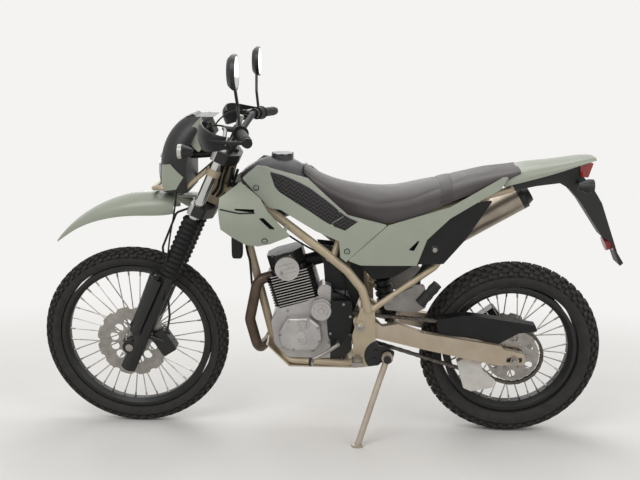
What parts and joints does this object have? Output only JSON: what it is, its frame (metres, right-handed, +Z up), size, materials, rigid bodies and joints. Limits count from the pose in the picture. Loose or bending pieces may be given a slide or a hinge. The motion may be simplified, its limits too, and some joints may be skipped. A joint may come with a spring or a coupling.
{
  "type": "dual sport motorcycle",
  "caption": "Dual sport motorcycle in sage green leaning on its side stand, with knobbly tyres on spoked wheels, a long fork with gaiters and an air-cooled single.",
  "frame": {"origin": "middle of the footprint of the leaning motorcycle, on the ground", "axes": "+X towards the rear wheel, +Z up, -Y the side the machine leans to"},
  "size_m": [2.0724, 0.8392, 1.411],
  "materials": {
    "black_metal": "satin",
    "black_plastic": "matte",
    "clear_lens": "gloss",
    "exhaust_steel": "brushed",
    "frame_paint": "satin",
    "green_paint": "satin",
    "red_lens": "gloss",
    "rubber": "matte",
    "seat_cover": "matte",
    "silver_alloy": "satin",
    "steel": "brushed",
    "tank_plastic": "satin",
    "tyre": "matte"
  },
  "bodies": {
    "chassis": {"frame": "frame_paint", "swingarm": "frame_paint", "rear_axle": "steel", "chain": "steel", "chain_guard": "black_plastic", "chain_guide": "clear_lens", "crankcase": "silver_alloy", "cylinder": "black_metal", "cylinder_head": "black_metal", "generator_cover": "silver_alloy", "sprocket_cover": "black_plastic", "exhaust_pipe": "exhaust_steel", "bash_plate": "silver_alloy", "muffler": "silver_alloy", "shift_lever": "steel", "footpegs": "steel", "passenger_pegs": "black_metal", "brake_pedal": "steel", "rear_caliper": "black_metal", "tank_panels": "green_paint", "shrouds": "green_paint", "side_panels": "green_paint", "fuel_tank": "tank_plastic", "seat": "seat_cover", "airbox": "black_plastic", "tail_fender": "green_paint", "tail_light": "red_lens", "plate_bracket": "black_plastic", "shock": "steel"},
    "steering": {"fork_clamps": "silver_alloy", "front_axle": "steel", "front_caliper": "black_metal", "handlebar": "black_metal", "headlight_shell": "black_plastic", "headlight_lens": "clear_lens", "headlight_panel": "green_paint", "front_fender": "green_paint", "controls": "rubber", "hand_levers": "black_metal", "handguards": "black_plastic", "mirrors": "black_plastic", "fork_legs": "black_metal", "gaiters": "rubber", "fork_loop": "frame_paint"},
    "front_wheel": {"front_tyre": "tyre", "front_wheel": "black_metal", "front_disc": "steel"},
    "rear_wheel": {"rear_tyre": "tyre", "rear_wheel": "black_metal", "rear_disc": "steel", "rear_sprocket": "steel"},
    "side_stand": {"side_stand": "steel"}
  },
  "joints": [
    {"name": "steering", "type": "hinge", "parent": "chassis", "child": "steering", "pos_m": [-0.37982, 0.03832, 0.89406], "axis": [0.4147, -0.158, 0.8961], "range_deg": [-40, 40]},
    {"name": "front_wheel_spin", "type": "hinge", "parent": "steering", "child": "front_wheel", "pos_m": [-0.69711, 0.13677, 0.3357], "axis": [0, 0.9848, 0.1736], "continuous": true},
    {"name": "rear_wheel_spin", "type": "hinge", "parent": "chassis", "child": "rear_wheel", "pos_m": [0.66789, 0.13938, 0.32093], "axis": [0, 0.9848, 0.1736], "continuous": true},
    {"name": "side_stand_fold", "type": "hinge", "parent": "chassis", "child": "side_stand", "pos_m": [0.22139, -0.00614, 0.30542], "axis": [0, -0.9848, -0.1736], "range_deg": [0, 100]}
  ]
}
